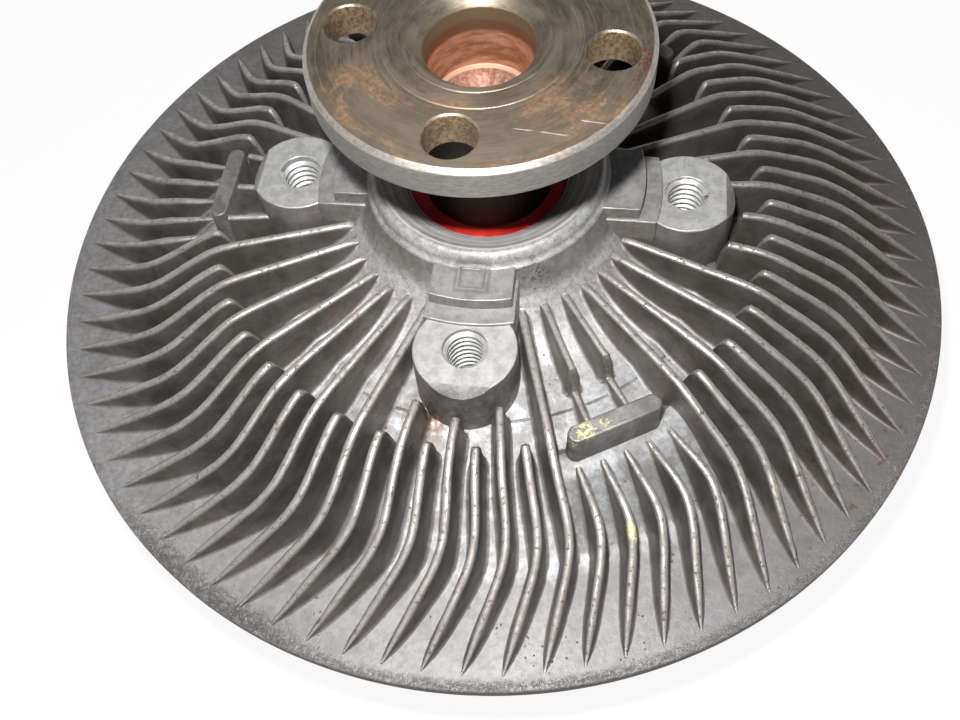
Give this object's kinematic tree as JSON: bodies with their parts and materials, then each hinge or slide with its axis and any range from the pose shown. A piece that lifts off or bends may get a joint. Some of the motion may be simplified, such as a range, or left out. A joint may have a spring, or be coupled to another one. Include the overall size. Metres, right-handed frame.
{
  "type": "viscous fan clutch",
  "caption": "Thermostatic viscous fan clutch: finned cast housing with a round drive flange on a shaft above it, bearing, rotor and finned cover with a bimetal coil.",
  "frame": {"origin": "on the shaft axis, in the plane that the cover's fins stand on", "axes": "+Z along the shaft axis, from the front cover up to the drive flange; the picture was taken from -Y"},
  "size_m": [0.1842, 0.1842, 0.0885],
  "materials": {
    "housing_casting": "as cast, satin, weathered, machined faces brighter",
    "forged_steel": "turned, with light surface rust",
    "rotor_aluminium": "turned",
    "bearing_steel": "ground and polished",
    "cage_brass": "machined",
    "seal_rubber": "matte",
    "black_rubber": "matte",
    "spring_steel": "phosphated",
    "cover_casting": "die cast, satin",
    "zinc_plated_steel": "zinc plated",
    "sheet_steel": "cold rolled",
    "wiper_plastic": "matte",
    "bimetal": "rolled bimetal strip"
  },
  "bodies": {
    "housing": {"rear_housing": "housing_casting", "front_cover": "cover_casting", "bearing_outer_race": "bearing_steel", "upper_bearing_seal": "seal_rubber", "lower_bearing_seal": "seal_rubber", "bearing_snap_ring": "spring_steel", "cover_seal_ring": "black_rubber", "pump_plate": "sheet_steel", "pump_plate_screws": "zinc_plated_steel", "wiper": "wiper_plastic", "wiper_pins": "zinc_plated_steel", "valve_shaft_o_ring": "black_rubber", "bimetal_coil": "bimetal"},
    "input": {"input_shaft": "forged_steel", "bearing_inner_race": "bearing_steel", "clutch_disc": "rotor_aluminium"},
    "cage": {"bearing_cage": "cage_brass", "bearing_balls": "bearing_steel"},
    "valve": {"valve_shaft": "zinc_plated_steel", "valve_arm": "sheet_steel", "valve_arm_clip": "spring_steel"}
  },
  "joints": [
    {"name": "input_spin", "type": "hinge", "parent": "housing", "child": "input", "pos_m": [0, 0, 0.0463], "axis": [0, 0, 1], "continuous": true},
    {"name": "cage_spin", "type": "hinge", "parent": "housing", "child": "cage", "pos_m": [0, 0, 0.0463], "axis": [0, 0, 1], "continuous": true},
    {"name": "valve_turn", "type": "hinge", "parent": "housing", "child": "valve", "pos_m": [0, 0, 0.0122], "axis": [0, 0, 1], "range_deg": [0, 30], "deforming": ["bimetal_coil"]}
  ],
  "couplings": [
    {"joint": "cage_spin", "follows": "input_spin", "ratio": 0.38165}
  ]
}
